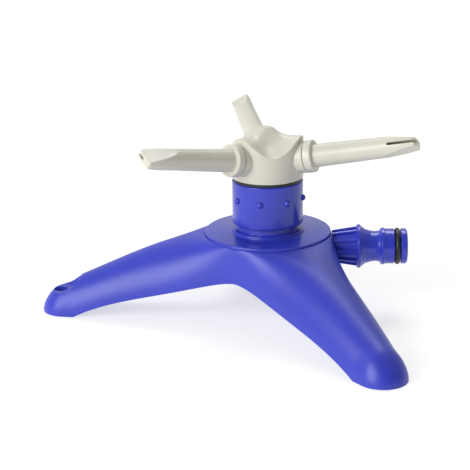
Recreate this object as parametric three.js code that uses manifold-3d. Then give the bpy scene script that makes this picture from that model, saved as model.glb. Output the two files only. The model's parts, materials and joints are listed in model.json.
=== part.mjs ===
// Three-arm rotating lawn sprinkler on a moulded tripod base.
// Millimetres, +Z up, +X towards the hose connector, origin on the ground under the middle of the object.

import * as THREE from 'three';
import { mergeGeometries, mergeVertices } from 'three/addons/utils/BufferGeometryUtils.js';
import { ParametricGeometry } from 'three/addons/geometries/ParametricGeometry.js';
import Module from 'manifold-3d';

const wasm = await Module();
wasm.setup();

const degrees = THREE.MathUtils.degToRad;

// ---- driving dimensions ----

const LEG_PLACES = [180, 300, 86]; // azimuths of the legs in order round the base, degrees
const WALL_START = 60; // a wide gap's wall is round from here on, degrees from the leg
const FOOT_CENTRE = 92.3; // spindle axis to the middle of a foot
const FOOT_RADIUS = 10.9;
const LEG_TAPER = 0.151; // angle between a leg's edge and its centreline, radians
const CROTCH_RADIUS = 29.2; // spindle axis to the wall between two legs
const LEG_EDGE_PULL = 6.7; // how far the leg's edge runs straight from the foot
const CROTCH_PULL = 12.2; // how far the wall between the legs runs round the body
const RIDGE_HEIGHTS = [36.6, 31.2, 22.5, 13.3]; // leg's top at equal steps from disc to foot
const ARCH_HEIGHTS = [20.6, 10.9, 10.7, 0]; // control heights of the leg's lower edge
const ARCH_END = 88.9; // from here out the lower edge is on the ground
const RIDGE_BLEND = 14; // width of the blend where the leg's ridge runs into the body
const DOME_SHARPNESS = 2.12;
const DOME_FULLNESS = 1.91;
const BASE_WALL = 2.6;
const ROOF_WALL = 3;

const PEG_HOLE_RADIUS = 3.1;
const PEG_HOLE_REACH = 94.7;
const PEG_PAD_HEIGHT = 9.6;
const PEG_PAD_RADIUS = 6.2;
const PEG_PAD_THICKNESS = 3;

const DISC_RADIUS = 28.2;
const DISC_TOP = 37.7;
const DISC_SEAT = 35.7;
const RING_LIP_RADIUS = 16.3;
const RING_LIP_TOP = 39;
const NECK_RADIUS = 13.7;
const NECK_TOP = 56;
const NECK_SEAT = 50.5; // floor of the cup that holds the spindle's flange
const CUP_RADIUS = 12.2;
const SLEEVE_BORE = 7.3;
const CHAMBER_RADIUS = 6;
const CHAMBER_FLOOR = 26;
const BODY_TUBE_RADIUS = 9.5;
const BODY_BOTTOM = 21.5;

const INLET_HEIGHT = 29.7;
const INLET_PIPE_RADIUS = 7.3;
const INLET_PIPE_END = 28.4;
const INLET_BORE = 4.5;
const SOCKET_RADIUS = 5.9;
const SOCKET_FLOOR = 18.5;
const PORT_RADIUS = 7.7;

const COLLAR_RADIUS = 15.8;
const COLLAR_BOTTOM = 41.6;
const COLLAR_TOP = 61.2;
const COLLAR_BORE = 14;
const COLLAR_LIP_BORE = 8.6;
const COLLAR_LIP_BOTTOM = 57;
const NUB_COUNT = 7;
const NUB_SPACING = 45; // degrees
const NUB_RADIUS = 1.45;
const NUB_HEIGHT = 53.5;
const NUB_START = 213.6; // azimuth of the first nub, degrees

const SPINDLE_RADIUS = 8.2;
const SPINDLE_BORE = 4.6;
const SPINDLE_TOP = 66;
const SPINDLE_BOTTOM = 43;
const SPINDLE_TAIL_RADIUS = 6.9;
const FLANGE_RADIUS = 11.8;
const FLANGE_BOTTOM = 52;
const FLANGE_TOP = 54.6;

const HUB_RADIUS = 15.9;
const HUB_BOTTOM = 62.6;
const ARMS_MEET = 69.2; // height where the three arm axes cross the spindle axis
const HUB_PEAK = 15.7; // flat top of the hub above that crossing
const LOBE_SHOULDER = 12.57; // height of a lobe's crest where its slope changes
const LOBE_SHOULDER_REACH = 9.6;
const LOBE_RISE = 0.0635; // curvature of the crest inside the shoulder
const LOBE_RUN = 0.006; // and outside it
const VALLEY_DEPTH = 3.88; // half the drop from crest to valley at the hub's edge
const VALLEY_POWER = 1.35;
const HUB_BORE = 8.5;
const HUB_CHAMBER = 6.4;

const ARM_COUNT = 3;
const ARM_TILT = 11; // degrees above level
const ARM_REST = 101.6; // azimuth of the first arm, degrees
const ARM_REACH = 68.6; // along the arm from the crossing to the tip
const ARM_ROOT_RADIUS = 5.12;
const ARM_TIP_RADIUS = 4.58;
const TIP_ROUND = 1.3;
const ARM_BORE = 2.6;
const RING_RADIUS = 7.15;
const RING_START = 18.8;
const RING_END = 22.4;
const BOSS_RADIUS = 7;
const BOSS_END = 18.5;
const ARM_SOCKET_RADIUS = 4.9;
const ARM_SOCKET_START = 9.7;
const SHANK_RADIUS = 4.6;
const WEDGE_LENGTH = 15.7;
const WEDGE_HALF_THICKNESS = 1.6;
const SLOT_WIDTH = 1.2;
const SLOT_LENGTH = 12.6;
const SLOT_TURN = -120; // degrees about the arm's axis

const NOSE_END = 62.2; // spindle axis to the end of the hose connector
const NOSE_RADIUS = 7.95;
const CONNECTOR_BORE = 4.75;
const CONNECTOR_START = 28.7;
const GRIP_END = 39.6;
const GRIP_RIB_COUNT = 10;
const GRIP_RIB_START = 270; // degrees about the connector's axis
const SPIGOT_START = 20.3;

const SCREW_COUNT = 3;
const SCREW_CIRCLE = 22.5;
const SCREW_BOSS_RADIUS = 3.4;
const SCREW_BOSS_BOTTOM = 31.8;

// ---- materials ----

function plastic(colour, roughness) {
  return new THREE.MeshStandardMaterial({ color: colour, roughness, metalness: 0 });
}

const bluePlastic = plastic('#3b3fbf', 0.35);
const greyPlastic = plastic('#cfccc0', 0.4);
const blackRubber = plastic('#17171a', 0.6);
const whiteAcetal = plastic('#e9e7df', 0.35);
const steel = new THREE.MeshStandardMaterial({ color: '#b9bcc0', roughness: 0.3, metalness: 1 });

// ---- solids ----

// A closed solid from a geometry: shared corners merged, collapsed triangles left out, faces outwards.
function solid(geometry, weld = 1e-4) {
  const bare = geometry.clone();
  bare.deleteAttribute('normal');
  bare.deleteAttribute('uv');
  const merged = mergeVertices(bare, weld);
  const corners = merged.attributes.position.array;
  const index = merged.index.array;
  const triangles = [];
  for (let i = 0; i < index.length; i += 3) {
    const [a, b, c] = [index[i], index[i + 1], index[i + 2]];
    if (a !== b && b !== c && c !== a) triangles.push(a, b, c);
  }
  if (signedVolume(corners, triangles) < 0) triangles.reverse();
  return new wasm.Manifold(new wasm.Mesh({
    numProp: 3,
    vertProperties: new Float32Array(corners),
    triVerts: new Uint32Array(triangles),
  }));
}

function signedVolume(corners, triangles) {
  const [a, b, c] = [new THREE.Vector3(), new THREE.Vector3(), new THREE.Vector3()];
  let volume = 0;
  for (let i = 0; i < triangles.length; i += 3) {
    a.fromArray(corners, 3 * triangles[i]);
    b.fromArray(corners, 3 * triangles[i + 1]);
    c.fromArray(corners, 3 * triangles[i + 2]);
    volume += a.dot(b.cross(c)) / 6;
  }
  return volume;
}

function geometryOf(body) {
  const mesh = body.getMesh();
  const geometry = new THREE.BufferGeometry();
  geometry.setAttribute('position', new THREE.BufferAttribute(new Float32Array(mesh.vertProperties), 3));
  geometry.setIndex(new THREE.BufferAttribute(new Uint32Array(mesh.triVerts), 1));
  return geometry;
}

function joined(geometries) {
  return geometries.map((geometry) => solid(geometry)).reduce((sum, body) => sum.add(body));
}

function piece(name, body, material) {
  const mesh = new THREE.Mesh(geometryOf(body), material);
  mesh.name = name;
  return mesh;
}

// Turns a profile of [radius, height] points about the Z axis. A profile that stays off the axis
// comes back to its first point.
function revolve(profile, segments = 32) {
  const points = profile.map(([radius, height]) => new THREE.Vector2(radius, height));
  const onAxis = points[0].x === 0;
  if (!onAxis) points.push(points[0].clone());
  return new THREE.LatheGeometry(points, segments).rotateX(Math.PI / 2);
}

function rod(radius, bottom, top, segments = 24) {
  return revolve([[0, bottom], [radius, bottom], [radius, top], [0, top]], segments);
}

function tube(outer, inner, bottom, top, segments = 32) {
  return revolve([[outer, bottom], [outer, top], [inner, top], [inner, bottom]], segments);
}

// Quarter-round corner of a profile from one angle to another, in degrees.
function corner(radius, height, size, from, to, steps = 2) {
  const points = [];
  for (let i = 0; i <= steps; i++) {
    const angle = degrees(from + (to - from) * i / steps);
    points.push([radius + size * Math.cos(angle), height + size * Math.sin(angle)]);
  }
  return points;
}

function ring(radius, thickness, height, segments = 24) {
  return new THREE.TorusGeometry(radius, thickness / 2, 8, segments).translate(0, 0, height);
}

function aroundAxis(count, start, build) {
  const bodies = [];
  for (let k = 0; k < count; k++) bodies.push(build(degrees(start + 360 * k / count), k));
  return bodies;
}

// ---- tripod base ----

// One half of a leg seen from above, from the tip round the foot, up the leg's edge to the wall
// between two legs and along it to the middle of the gap. Each point carries the direction that
// points out of the leg, and the place on the level top that faces it: a share of the ridge from
// the disc to the foot, or a turn round the disc.
function halfOutline(halfGap) {
  const points = [];
  const footSteps = 4;
  const edgeSteps = 13;
  const ridgeSteps = 8; // of the edge's steps, those that face the leg's ridge
  const arcSteps = 3;
  for (let i = 0; i <= footSteps; i++) {
    const angle = (Math.PI / 2 - LEG_TAPER) * i / footSteps;
    const out = new THREE.Vector2(Math.cos(angle), Math.sin(angle));
    const at = out.clone().multiplyScalar(FOOT_RADIUS).add(new THREE.Vector2(FOOT_CENTRE, 0));
    points.push({ at, out, share: 1, turn: 0 });
  }
  const start = points[footSteps].at;
  const wall = degrees(Math.min(halfGap, WALL_START));
  const end = new THREE.Vector2(Math.cos(wall), Math.sin(wall)).multiplyScalar(CROTCH_RADIUS);
  const alongEdge = new THREE.Vector2(-Math.cos(LEG_TAPER), Math.sin(LEG_TAPER)).multiplyScalar(LEG_EDGE_PULL);
  const alongWall = new THREE.Vector2(Math.sin(wall), -Math.cos(wall)).multiplyScalar(CROTCH_PULL);
  const edge = new THREE.CubicBezierCurve(start, start.clone().add(alongEdge), end.clone().add(alongWall), end);
  for (let i = 1; i <= edgeSteps; i++) {
    const tangent = edge.getTangent(i / edgeSteps);
    points.push({
      at: edge.getPoint(i / edgeSteps),
      out: new THREE.Vector2(tangent.y, -tangent.x),
      share: Math.max(1 - i / ridgeSteps, 0),
      turn: wall * Math.max(i - ridgeSteps, 0) / (edgeSteps - ridgeSteps),
    });
  }
  for (let i = 1; i <= arcSteps && halfGap > WALL_START; i++) {
    const turn = wall + (degrees(halfGap) - wall) * i / arcSteps;
    const out = new THREE.Vector2(Math.cos(turn), Math.sin(turn));
    points.push({ at: out.clone().multiplyScalar(CROTCH_RADIUS), out, share: 0, turn });
  }
  return points;
}

function distanceToOutline(point, rim) {
  const nearest = new THREE.Vector3();
  const here = new THREE.Vector3(point.x, point.y, 0);
  let best = Infinity;
  for (let i = 1; i < rim.length; i++) {
    const stretch = new THREE.Line3(
      new THREE.Vector3(rim[i - 1].x, rim[i - 1].y, 0),
      new THREE.Vector3(rim[i].x, rim[i].y, 0),
    );
    stretch.closestPointToPoint(here, true, nearest);
    best = Math.min(best, nearest.distanceTo(here));
  }
  return best;
}

// Smooth curve through four heights at equal steps.
function throughFour([a, b, c, d], t) {
  const third = 1 / 3;
  const nearStart = -4.5 * (t - third) * (t - 2 * third) * (t - 1) * a + 13.5 * t * (t - 2 * third) * (t - 1) * b;
  const nearEnd = -13.5 * t * (t - third) * (t - 1) * c + 4.5 * t * (t - third) * (t - 2 * third) * d;
  return nearStart + nearEnd;
}

function ridgeHeight(reach) {
  return throughFour(RIDGE_HEIGHTS, (reach - DISC_RADIUS) / (FOOT_CENTRE - DISC_RADIUS));
}

function archHeight(reach) {
  const t = THREE.MathUtils.clamp((reach - CROTCH_RADIUS) / (ARCH_END - CROTCH_RADIUS), 0, 1);
  const [a, b, c, d] = ARCH_HEIGHTS;
  const s = 1 - t;
  return s ** 3 * a + 3 * s * s * t * b + 3 * s * t * t * c + t ** 3 * d;
}

// Distance from a point to the level top, which is the leg's ridge line and the disc, blended smoothly.
function distanceToTop(point, discEdge) {
  const toRidge = Math.hypot(Math.max(point.x - FOOT_CENTRE, 0), point.y);
  const toDisc = Math.max(point.length() - discEdge, 0);
  const mix = THREE.MathUtils.clamp(0.5 + 0.5 * (toDisc - toRidge) / RIDGE_BLEND, 0, 1);
  return Math.max(toDisc * (1 - mix) + toRidge * mix - RIDGE_BLEND * mix * (1 - mix), 0);
}

// Height of the moulding's dome over a point, for a shell that lies inset inside the outer one.
function domeHeight(point, rim, inset, lowered) {
  const toEdge = distanceToOutline(point, rim);
  const depth = toEdge / Math.max(toEdge + distanceToTop(point, DISC_RADIUS - inset / 2), 1e-6);
  const rise = (1 - (1 - depth) ** DOME_SHARPNESS) ** (1 / DOME_FULLNESS);
  const foot = archHeight(point.length());
  return foot + (ridgeHeight(point.length()) - lowered - foot) * rise;
}

// Half a leg of the closed shell shape: dome, level roof under the disc and underside. The
// underside follows the arch, or drops straight to the given floor.
function halfLeg(halfGap, inset, lowered, floor) {
  const outline = halfOutline(halfGap);
  const rim = outline.map(({ at, out }) => at.clone().addScaledVector(out, -inset));
  const discEdge = DISC_RADIUS - inset / 2;
  const top = outline.map(({ share, turn }) => {
    const reach = discEdge + (FOOT_CENTRE - discEdge) * share;
    return new THREE.Vector2(Math.cos(turn), Math.sin(turn)).multiplyScalar(reach);
  });
  const last = rim.length - 1;
  const roof = RIDGE_HEIGHTS[0] - lowered;
  const roofStart = outline.findIndex(({ share }) => share === 0);

  const dome = new ParametricGeometry((u, v, target) => {
    const i = Math.round(u * last);
    const point = rim[i].clone().lerp(top[i], v ** 1.7);
    const height = v === 1 && i >= roofStart ? roof : domeHeight(point, rim, inset, lowered);
    target.set(point.x, point.y, height);
  }, last, 5);
  const roofFan = new ParametricGeometry((u, v, target) => {
    const point = top[roofStart + Math.round(u * (last - roofStart))];
    target.set(point.x * (1 - v), point.y * (1 - v), roof);
  }, last - roofStart, 1);
  const underside = new ParametricGeometry((u, v, target) => {
    const point = rim[Math.round(u * last)].clone();
    const height = archHeight(point.length());
    if (floor === undefined) {
      point.multiplyScalar(1 - [0, 0.06, 0.5, 1][Math.round(3 * v)]);
      target.set(point.x, point.y, archHeight(point.length()));
    } else {
      target.set(point.x * (v < 0.9 ? 1 : 0), point.y * (v < 0.9 ? 1 : 0), v < 0.1 ? height : floor);
    }
  }, last, floor === undefined ? 3 : 2);
  return mergeGeometries([dome, roofFan, flipped(underside)]);
}

function tripodShape(inset, lowered, floor) {
  const legs = LEG_PLACES.map((place, k) => {
    const next = LEG_PLACES[(k + 1) % LEG_PLACES.length];
    const previous = LEG_PLACES.at(k - 1);
    const after = (next - place + 360) % 360;
    const before = (place - previous + 360) % 360;
    const onward = halfLeg(after / 2, inset, lowered, floor);
    const backward = flipped(halfLeg(before / 2, inset, lowered, floor).scale(1, -1, 1));
    return mergeGeometries([onward, backward]).rotateZ(degrees(place));
  });
  return mergeGeometries(legs);
}

function flipped(geometry) {
  geometry.index.array.reverse();
  return geometry;
}

// Flat pad with a hole in the foot of the leg opposite the hose connector.
function pegPad() {
  const flare = 4;
  const clear = 30;
  return revolve([
    [0, PEG_PAD_HEIGHT],
    [PEG_PAD_RADIUS, PEG_PAD_HEIGHT],
    [PEG_PAD_RADIUS + flare * 0.4, PEG_PAD_HEIGHT + flare * 0.25],
    [PEG_PAD_RADIUS + flare, PEG_PAD_HEIGHT + flare * 1.3],
    [PEG_PAD_RADIUS + flare, clear],
    [0, clear],
  ], 24).translate(-PEG_HOLE_REACH, 0, 0);
}

// What is left solid under the pad, inside the leg's outer shape.
function padFloor(outer) {
  const reach = PEG_PAD_RADIUS + 3.6;
  const under = PEG_PAD_HEIGHT - PEG_PAD_THICKNESS;
  return outer.intersect(solid(rod(reach, under, 40, 24).translate(-PEG_HOLE_REACH, 0, 0)));
}

function screwPlaces(build) {
  return aroundAxis(SCREW_COUNT, 180, (angle) => {
    return build().translate(SCREW_CIRCLE * Math.cos(angle), SCREW_CIRCLE * Math.sin(angle), 0);
  });
}

function tripodBase() {
  const outer = solid(tripodShape(0, 0), 0.01);
  const hollow = solid(tripodShape(BASE_WALL, ROOF_WALL, -5), 0.01);
  const gap = 0.3;
  const middleOpening = 17;
  const cuts = [
    rod(DISC_RADIUS + gap, DISC_SEAT, DISC_TOP + 5, 48),
    rod(middleOpening, INLET_HEIGHT, DISC_TOP, 32),
    rod(PORT_RADIUS, 0, 45, 28).rotateY(Math.PI / 2).translate(0, 0, INLET_HEIGHT),
    pegPad(),
    rod(PEG_HOLE_RADIUS, -1, 20, 20).translate(-PEG_HOLE_REACH, 0, 0),
    ...screwPlaces(() => rod(SCREW_BOSS_RADIUS + gap, INLET_HEIGHT, DISC_TOP, 16)),
  ];
  const walls = outer.subtract(hollow).add(padFloor(outer)).subtract(joined(cuts));
  return piece('tripod_base', walls, bluePlastic);
}

// ---- waterway under the collar ----

function waterwayBody() {
  const bevel = 0.5;
  const outside = [
    revolve([
      [0, DISC_SEAT],
      [DISC_RADIUS, DISC_SEAT],
      [DISC_RADIUS, DISC_TOP - bevel],
      [DISC_RADIUS - bevel, DISC_TOP],
      [RING_LIP_RADIUS, DISC_TOP],
      [RING_LIP_RADIUS, RING_LIP_TOP - 0.3],
      [RING_LIP_RADIUS - 0.3, RING_LIP_TOP],
      [NECK_RADIUS, RING_LIP_TOP],
      [NECK_RADIUS, NECK_TOP],
      [0, NECK_TOP],
    ], 48),
    rod(BODY_TUBE_RADIUS, BODY_BOTTOM, DISC_SEAT + 1, 28),
    rod(INLET_PIPE_RADIUS, 0, INLET_PIPE_END, 28).rotateY(Math.PI / 2).translate(0, 0, INLET_HEIGHT),
    ...screwPlaces(() => rod(SCREW_BOSS_RADIUS, SCREW_BOSS_BOTTOM, DISC_SEAT + 1, 16)),
  ];
  const pilotRadius = 1.6;
  const inside = [
    revolve([
      [0, CHAMBER_FLOOR - 1],
      [CHAMBER_RADIUS, CHAMBER_FLOOR - 1],
      [CHAMBER_RADIUS, SPINDLE_BOTTOM - 2],
      [SLEEVE_BORE, SPINDLE_BOTTOM - 1],
      [SLEEVE_BORE, NECK_SEAT],
      [CUP_RADIUS, NECK_SEAT],
      [CUP_RADIUS, NECK_TOP + 1],
      [0, NECK_TOP + 1],
    ], 32),
    rod(INLET_BORE, 0, SOCKET_FLOOR + 1, 20).rotateY(Math.PI / 2).translate(0, 0, INLET_HEIGHT),
    rod(SOCKET_RADIUS, SOCKET_FLOOR, INLET_PIPE_END + 1, 24).rotateY(Math.PI / 2).translate(0, 0, INLET_HEIGHT),
    ...screwPlaces(() => rod(pilotRadius, SCREW_BOSS_BOTTOM - 1, DISC_SEAT + 0.6, 12)),
  ];
  const body = joined(outside).subtract(joined(inside));
  return piece('waterway_body', body, bluePlastic);
}

function baseScrews() {
  const headRadius = 4;
  const shankRadius = 1.3;
  const headBottom = 29.4;
  const headTop = 31.6;
  const shankTop = 36;
  const recess = [4.4, 0.9, 1.2];
  return aroundAxis(SCREW_COUNT, 180, (angle, k) => {
    const blank = solid(revolve([
      [0, headBottom],
      [headRadius - 1, headBottom],
      [headRadius, headBottom + 0.8],
      [headRadius, headTop],
      [shankRadius, headTop],
      [shankRadius, shankTop - 1],
      [0, shankTop],
    ], 16));
    const slot = solid(new THREE.BoxGeometry(...recess).translate(0, 0, headBottom));
    const crossSlot = solid(new THREE.BoxGeometry(...recess).rotateZ(Math.PI / 2).translate(0, 0, headBottom));
    const screw = piece(`base_screw_${k + 1}`, blank.subtract(slot.add(crossSlot)), steel);
    screw.position.set(SCREW_CIRCLE * Math.cos(angle), SCREW_CIRCLE * Math.sin(angle), 0);
    return screw;
  });
}

// ---- hose connector, built along +X at the inlet's height ----

function hoseConnector() {
  const chamfer = 0.7;
  const outside = revolve([
    [0, SPIGOT_START],
    [SOCKET_RADIUS - 0.3, SPIGOT_START],
    [SOCKET_RADIUS - 0.3, CONNECTOR_START],
    [6.1, CONNECTOR_START],
    [7.7, GRIP_END],
    [9.3, GRIP_END],
    [9.9, GRIP_END + 0.6],
    [9.9, 41.2],
    [9.1, 41.8],
    [7.75, 43.6],
    [7, 46],
    [6.75, 48.2],
    [7, 49.8],
    [7.9, 50.4],
    [8.3, 50.8],
    [8.3, 52],
    [7.9, 52.4],
    [7.9, 56.4],
    [5.8, 56.4],
    [5.8, 59.4],
    [NOSE_RADIUS, 59.4],
    [NOSE_RADIUS, NOSE_END - chamfer],
    [NOSE_RADIUS - chamfer, NOSE_END],
    [0, NOSE_END],
  ], 32);
  const ribWidth = 1.2;
  const ribOutline = new THREE.Shape([
    new THREE.Vector2(5.4, CONNECTOR_START),
    new THREE.Vector2(7.2, CONNECTOR_START),
    new THREE.Vector2(8.9, GRIP_END + 0.3),
    new THREE.Vector2(5.4, GRIP_END + 0.3),
  ]);
  const ribs = aroundAxis(GRIP_RIB_COUNT, GRIP_RIB_START, (angle) => {
    return new THREE.ExtrudeGeometry(ribOutline, { depth: ribWidth, bevelEnabled: false })
      .translate(0, 0, -ribWidth / 2)
      .rotateX(Math.PI / 2)
      .rotateZ(angle);
  });
  const bore = rod(CONNECTOR_BORE, SPIGOT_START - 1, NOSE_END + 1, 20);
  const body = joined([outside, ...ribs]).subtract(solid(bore));
  return piece('hose_connector', body, bluePlastic);
}

function inletLine() {
  const line = new THREE.Group();
  line.position.z = INLET_HEIGHT;
  line.rotation.y = Math.PI / 2;
  line.add(hoseConnector());
  line.add(piece('connector_o_ring', solid(ring(7.1, 2.3, 57.9, 28)), blackRubber));
  line.add(piece('inlet_washer', solid(tube(5.5, 4.1, SOCKET_FLOOR + 0.2, SPIGOT_START - 0.2, 24)), blackRubber));
  return line;
}

// ---- collar nut and the seals that it holds ----

function collarNut() {
  const blank = revolve([
    [COLLAR_BORE, COLLAR_BOTTOM],
    ...corner(COLLAR_RADIUS - 1.2, COLLAR_BOTTOM + 1.2, 1.2, -90, 0),
    ...corner(COLLAR_RADIUS - 0.5, COLLAR_TOP - 0.5, 0.5, 0, 90),
    [COLLAR_LIP_BORE, COLLAR_TOP],
    [COLLAR_LIP_BORE, COLLAR_LIP_BOTTOM],
    [COLLAR_BORE, COLLAR_LIP_BOTTOM],
  ], 48);
  const nubs = [];
  for (let k = 0; k < NUB_COUNT; k++) {
    const nub = new THREE.SphereGeometry(NUB_RADIUS, 8, 6);
    nubs.push(nub.translate(COLLAR_RADIUS - 0.1, 0, NUB_HEIGHT).rotateZ(degrees(NUB_START + NUB_SPACING * k)));
  }
  return piece('collar_nut', joined([blank, ...nubs]), bluePlastic);
}

function collarSeals() {
  return [
    piece('thrust_washer', solid(tube(FLANGE_RADIUS, SPINDLE_RADIUS + 0.4, 54.8, 56.8)), whiteAcetal),
    piece('slip_washer', solid(tube(15.4, SPINDLE_RADIUS + 0.4, 61.3, 62.4, 48)), blackRubber),
  ];
}

// ---- rotor: hub, spindle and nozzle arms, about the point where the arm axes cross ----

function spindle() {
  const groove = [45, 47.4];
  const grooveFloor = 5.5;
  const body = solid(revolve([
    [SPINDLE_BORE, SPINDLE_BOTTOM],
    [SPINDLE_TAIL_RADIUS - 0.5, SPINDLE_BOTTOM],
    [SPINDLE_TAIL_RADIUS, SPINDLE_BOTTOM + 0.5],
    [SPINDLE_TAIL_RADIUS, groove[0]],
    [grooveFloor, groove[0]],
    [grooveFloor, groove[1]],
    [SPINDLE_TAIL_RADIUS, groove[1]],
    [SPINDLE_TAIL_RADIUS, FLANGE_BOTTOM],
    [FLANGE_RADIUS, FLANGE_BOTTOM],
    [FLANGE_RADIUS, FLANGE_TOP],
    [SPINDLE_RADIUS, FLANGE_TOP],
    [SPINDLE_RADIUS, SPINDLE_TOP],
    [SPINDLE_BORE, SPINDLE_TOP],
  ], 28).translate(0, 0, -ARMS_MEET));
  return piece('spindle', body, whiteAcetal);
}

// Height of the hub's top: three round lobes over the arms, with valleys between them that deepen
// outwards, cut off level at the peak.
function hubTop(x, y) {
  const reach = Math.hypot(x, y);
  const curvature = reach < LOBE_SHOULDER_REACH ? LOBE_RISE : LOBE_RUN;
  const crest = LOBE_SHOULDER + curvature * (reach - LOBE_SHOULDER_REACH) ** 2;
  const valley = VALLEY_DEPTH * (reach / HUB_RADIUS) ** VALLEY_POWER;
  return Math.min(HUB_PEAK, crest - valley * (1 - Math.cos(ARM_COUNT * Math.atan2(y, x))));
}

function hubBlank() {
  const bottom = HUB_BOTTOM - ARMS_MEET;
  const rings = 7;
  const profile = [[0, bottom], [HUB_RADIUS - 0.4, bottom], [HUB_RADIUS, bottom + 0.4]];
  for (let i = 0; i < rings; i++) profile.push([HUB_RADIUS * (1 - i / rings), HUB_PEAK]);
  profile.push([0, HUB_PEAK]);
  const geometry = revolve(profile, 60);
  const corners = geometry.attributes.position;
  for (let i = 0; i < corners.count; i++) {
    if (corners.getZ(i) > HUB_PEAK - 0.001) corners.setZ(i, hubTop(corners.getX(i), corners.getY(i)));
  }
  return geometry;
}

function alongArm(geometry, angle) {
  return geometry.rotateY(Math.PI / 2 - degrees(ARM_TILT)).rotateZ(angle);
}

function rotorHub() {
  const chamberTop = 5;
  const bosses = aroundAxis(ARM_COUNT, 0, (angle) => alongArm(rod(BOSS_RADIUS, 9, BOSS_END, 28), angle));
  const snapGroove = 5.4;
  const sockets = aroundAxis(ARM_COUNT, 0, (angle) => alongArm(revolve([
    [0, 0],
    [ARM_BORE + 0.2, 0],
    [ARM_BORE + 0.2, ARM_SOCKET_START],
    [ARM_SOCKET_RADIUS, ARM_SOCKET_START],
    [ARM_SOCKET_RADIUS, 10.9],
    [snapGroove, 11.2],
    [snapGroove, 12.8],
    [ARM_SOCKET_RADIUS, 13.1],
    [ARM_SOCKET_RADIUS, BOSS_END + 1],
    [0, BOSS_END + 1],
  ], 20), angle));
  const bore = revolve([
    [0, HUB_BOTTOM - ARMS_MEET - 1],
    [HUB_BORE, HUB_BOTTOM - ARMS_MEET - 1],
    [HUB_BORE, SPINDLE_TOP - ARMS_MEET + 0.3],
    [HUB_CHAMBER, SPINDLE_TOP - ARMS_MEET + 0.3],
    [HUB_CHAMBER, chamberTop - 2],
    [HUB_CHAMBER - 2, chamberTop],
    [0, chamberTop],
  ], 24);
  const outside = joined([hubBlank(), ...bosses]);
  return piece('rotor_hub', outside.subtract(joined([bore, ...sockets])), greyPlastic);
}

// A nozzle arm along +Z, its slot towards +X.
function nozzleArm(name) {
  const shankStart = ARM_SOCKET_START + 0.4;
  const grooveFloor = 3.4;
  const snapBead = 5;
  const blank = solid(revolve([
    [0, shankStart],
    [SHANK_RADIUS - 0.4, shankStart],
    [SHANK_RADIUS, shankStart + 0.6],
    [SHANK_RADIUS, 11.4],
    [snapBead, 11.8],
    [snapBead, 12.2],
    [SHANK_RADIUS, 12.6],
    [SHANK_RADIUS, 14],
    [grooveFloor, 14],
    [grooveFloor, 16],
    [SHANK_RADIUS, 16],
    [SHANK_RADIUS, RING_START],
    [RING_RADIUS, RING_START],
    [RING_RADIUS, RING_END - 0.4],
    [RING_RADIUS - 0.4, RING_END],
    [ARM_ROOT_RADIUS, RING_END],
    [ARM_TIP_RADIUS, ARM_REACH - WEDGE_LENGTH],
    ...corner(ARM_TIP_RADIUS - TIP_ROUND, ARM_REACH - TIP_ROUND, TIP_ROUND, 0, 90, 3),
    [0, ARM_REACH],
  ], 28));

  const wedgeStart = ARM_REACH - WEDGE_LENGTH;
  const flatSide = new THREE.Shape([
    new THREE.Vector2(ARM_TIP_RADIUS, wedgeStart),
    new THREE.Vector2(ARM_TIP_RADIUS + 5, wedgeStart),
    new THREE.Vector2(ARM_TIP_RADIUS + 5, ARM_REACH + 5),
    new THREE.Vector2(0, ARM_REACH + 5),
    new THREE.Vector2(0, ARM_REACH + 1),
    new THREE.Vector2(WEDGE_HALF_THICKNESS, ARM_REACH),
  ]);
  const span = 20;
  const flats = [1, -1].map((side) => {
    const cutter = new THREE.ExtrudeGeometry(flatSide, { depth: span, bevelEnabled: false })
      .translate(0, 0, -span / 2)
      .rotateX(Math.PI / 2)
      .rotateZ(Math.PI / 2);
    if (side < 0) cutter.rotateZ(Math.PI);
    return cutter;
  });

  const bore = revolve([
    [0, shankStart - 1],
    [ARM_BORE, shankStart - 1],
    [ARM_BORE, 55],
    [1.4, 62.5],
    [0, 62.5],
  ], 16);

  const slotStart = ARM_REACH - SLOT_LENGTH;
  const slotOutline = new THREE.Shape();
  slotOutline.moveTo(SLOT_WIDTH / 2, ARM_REACH + 1);
  slotOutline.lineTo(-SLOT_WIDTH / 2, ARM_REACH + 1);
  slotOutline.lineTo(-SLOT_WIDTH / 2, slotStart + SLOT_WIDTH / 2);
  slotOutline.absarc(0, slotStart + SLOT_WIDTH / 2, SLOT_WIDTH / 2, Math.PI, 2 * Math.PI);
  const slot = new THREE.ExtrudeGeometry(slotOutline, { depth: 7, bevelEnabled: false, curveSegments: 4 })
    .rotateX(Math.PI / 2)
    .rotateZ(Math.PI / 2);

  return piece(name, blank.subtract(joined([...flats, bore, slot])), greyPlastic);
}

function rotor() {
  const group = new THREE.Group();
  group.position.z = ARMS_MEET;
  group.rotation.z = degrees(ARM_REST);
  group.add(rotorHub());
  group.add(spindle());
  group.add(piece('spindle_seal', solid(ring(6.35, 1.4, 46.2 - ARMS_MEET)), blackRubber));
  aroundAxis(ARM_COUNT, 0, (angle, k) => {
    const azimuth = new THREE.Group();
    azimuth.rotation.z = angle;
    const tilted = new THREE.Group();
    tilted.rotation.y = Math.PI / 2 - degrees(ARM_TILT);
    const arm = nozzleArm(`nozzle_arm_${k + 1}`);
    arm.rotation.z = degrees(SLOT_TURN);
    tilted.add(arm);
    tilted.add(piece(`arm_o_ring_${k + 1}`, solid(ring(4.15, 1, 15, 20)), blackRubber));
    azimuth.add(tilted);
    group.add(azimuth);
  });
  return group;
}

// ---- assembly ----

const sprinkler = new THREE.Group();
sprinkler.add(tripodBase(), waterwayBody(), ...baseScrews(), inletLine(), collarNut(), ...collarSeals(), rotor());
sprinkler.updateMatrixWorld(true);
const middle = new THREE.Box3().setFromObject(sprinkler, true).getCenter(new THREE.Vector3());
sprinkler.position.set(-middle.x, -middle.y, 0);

export default sprinkler;
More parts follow.
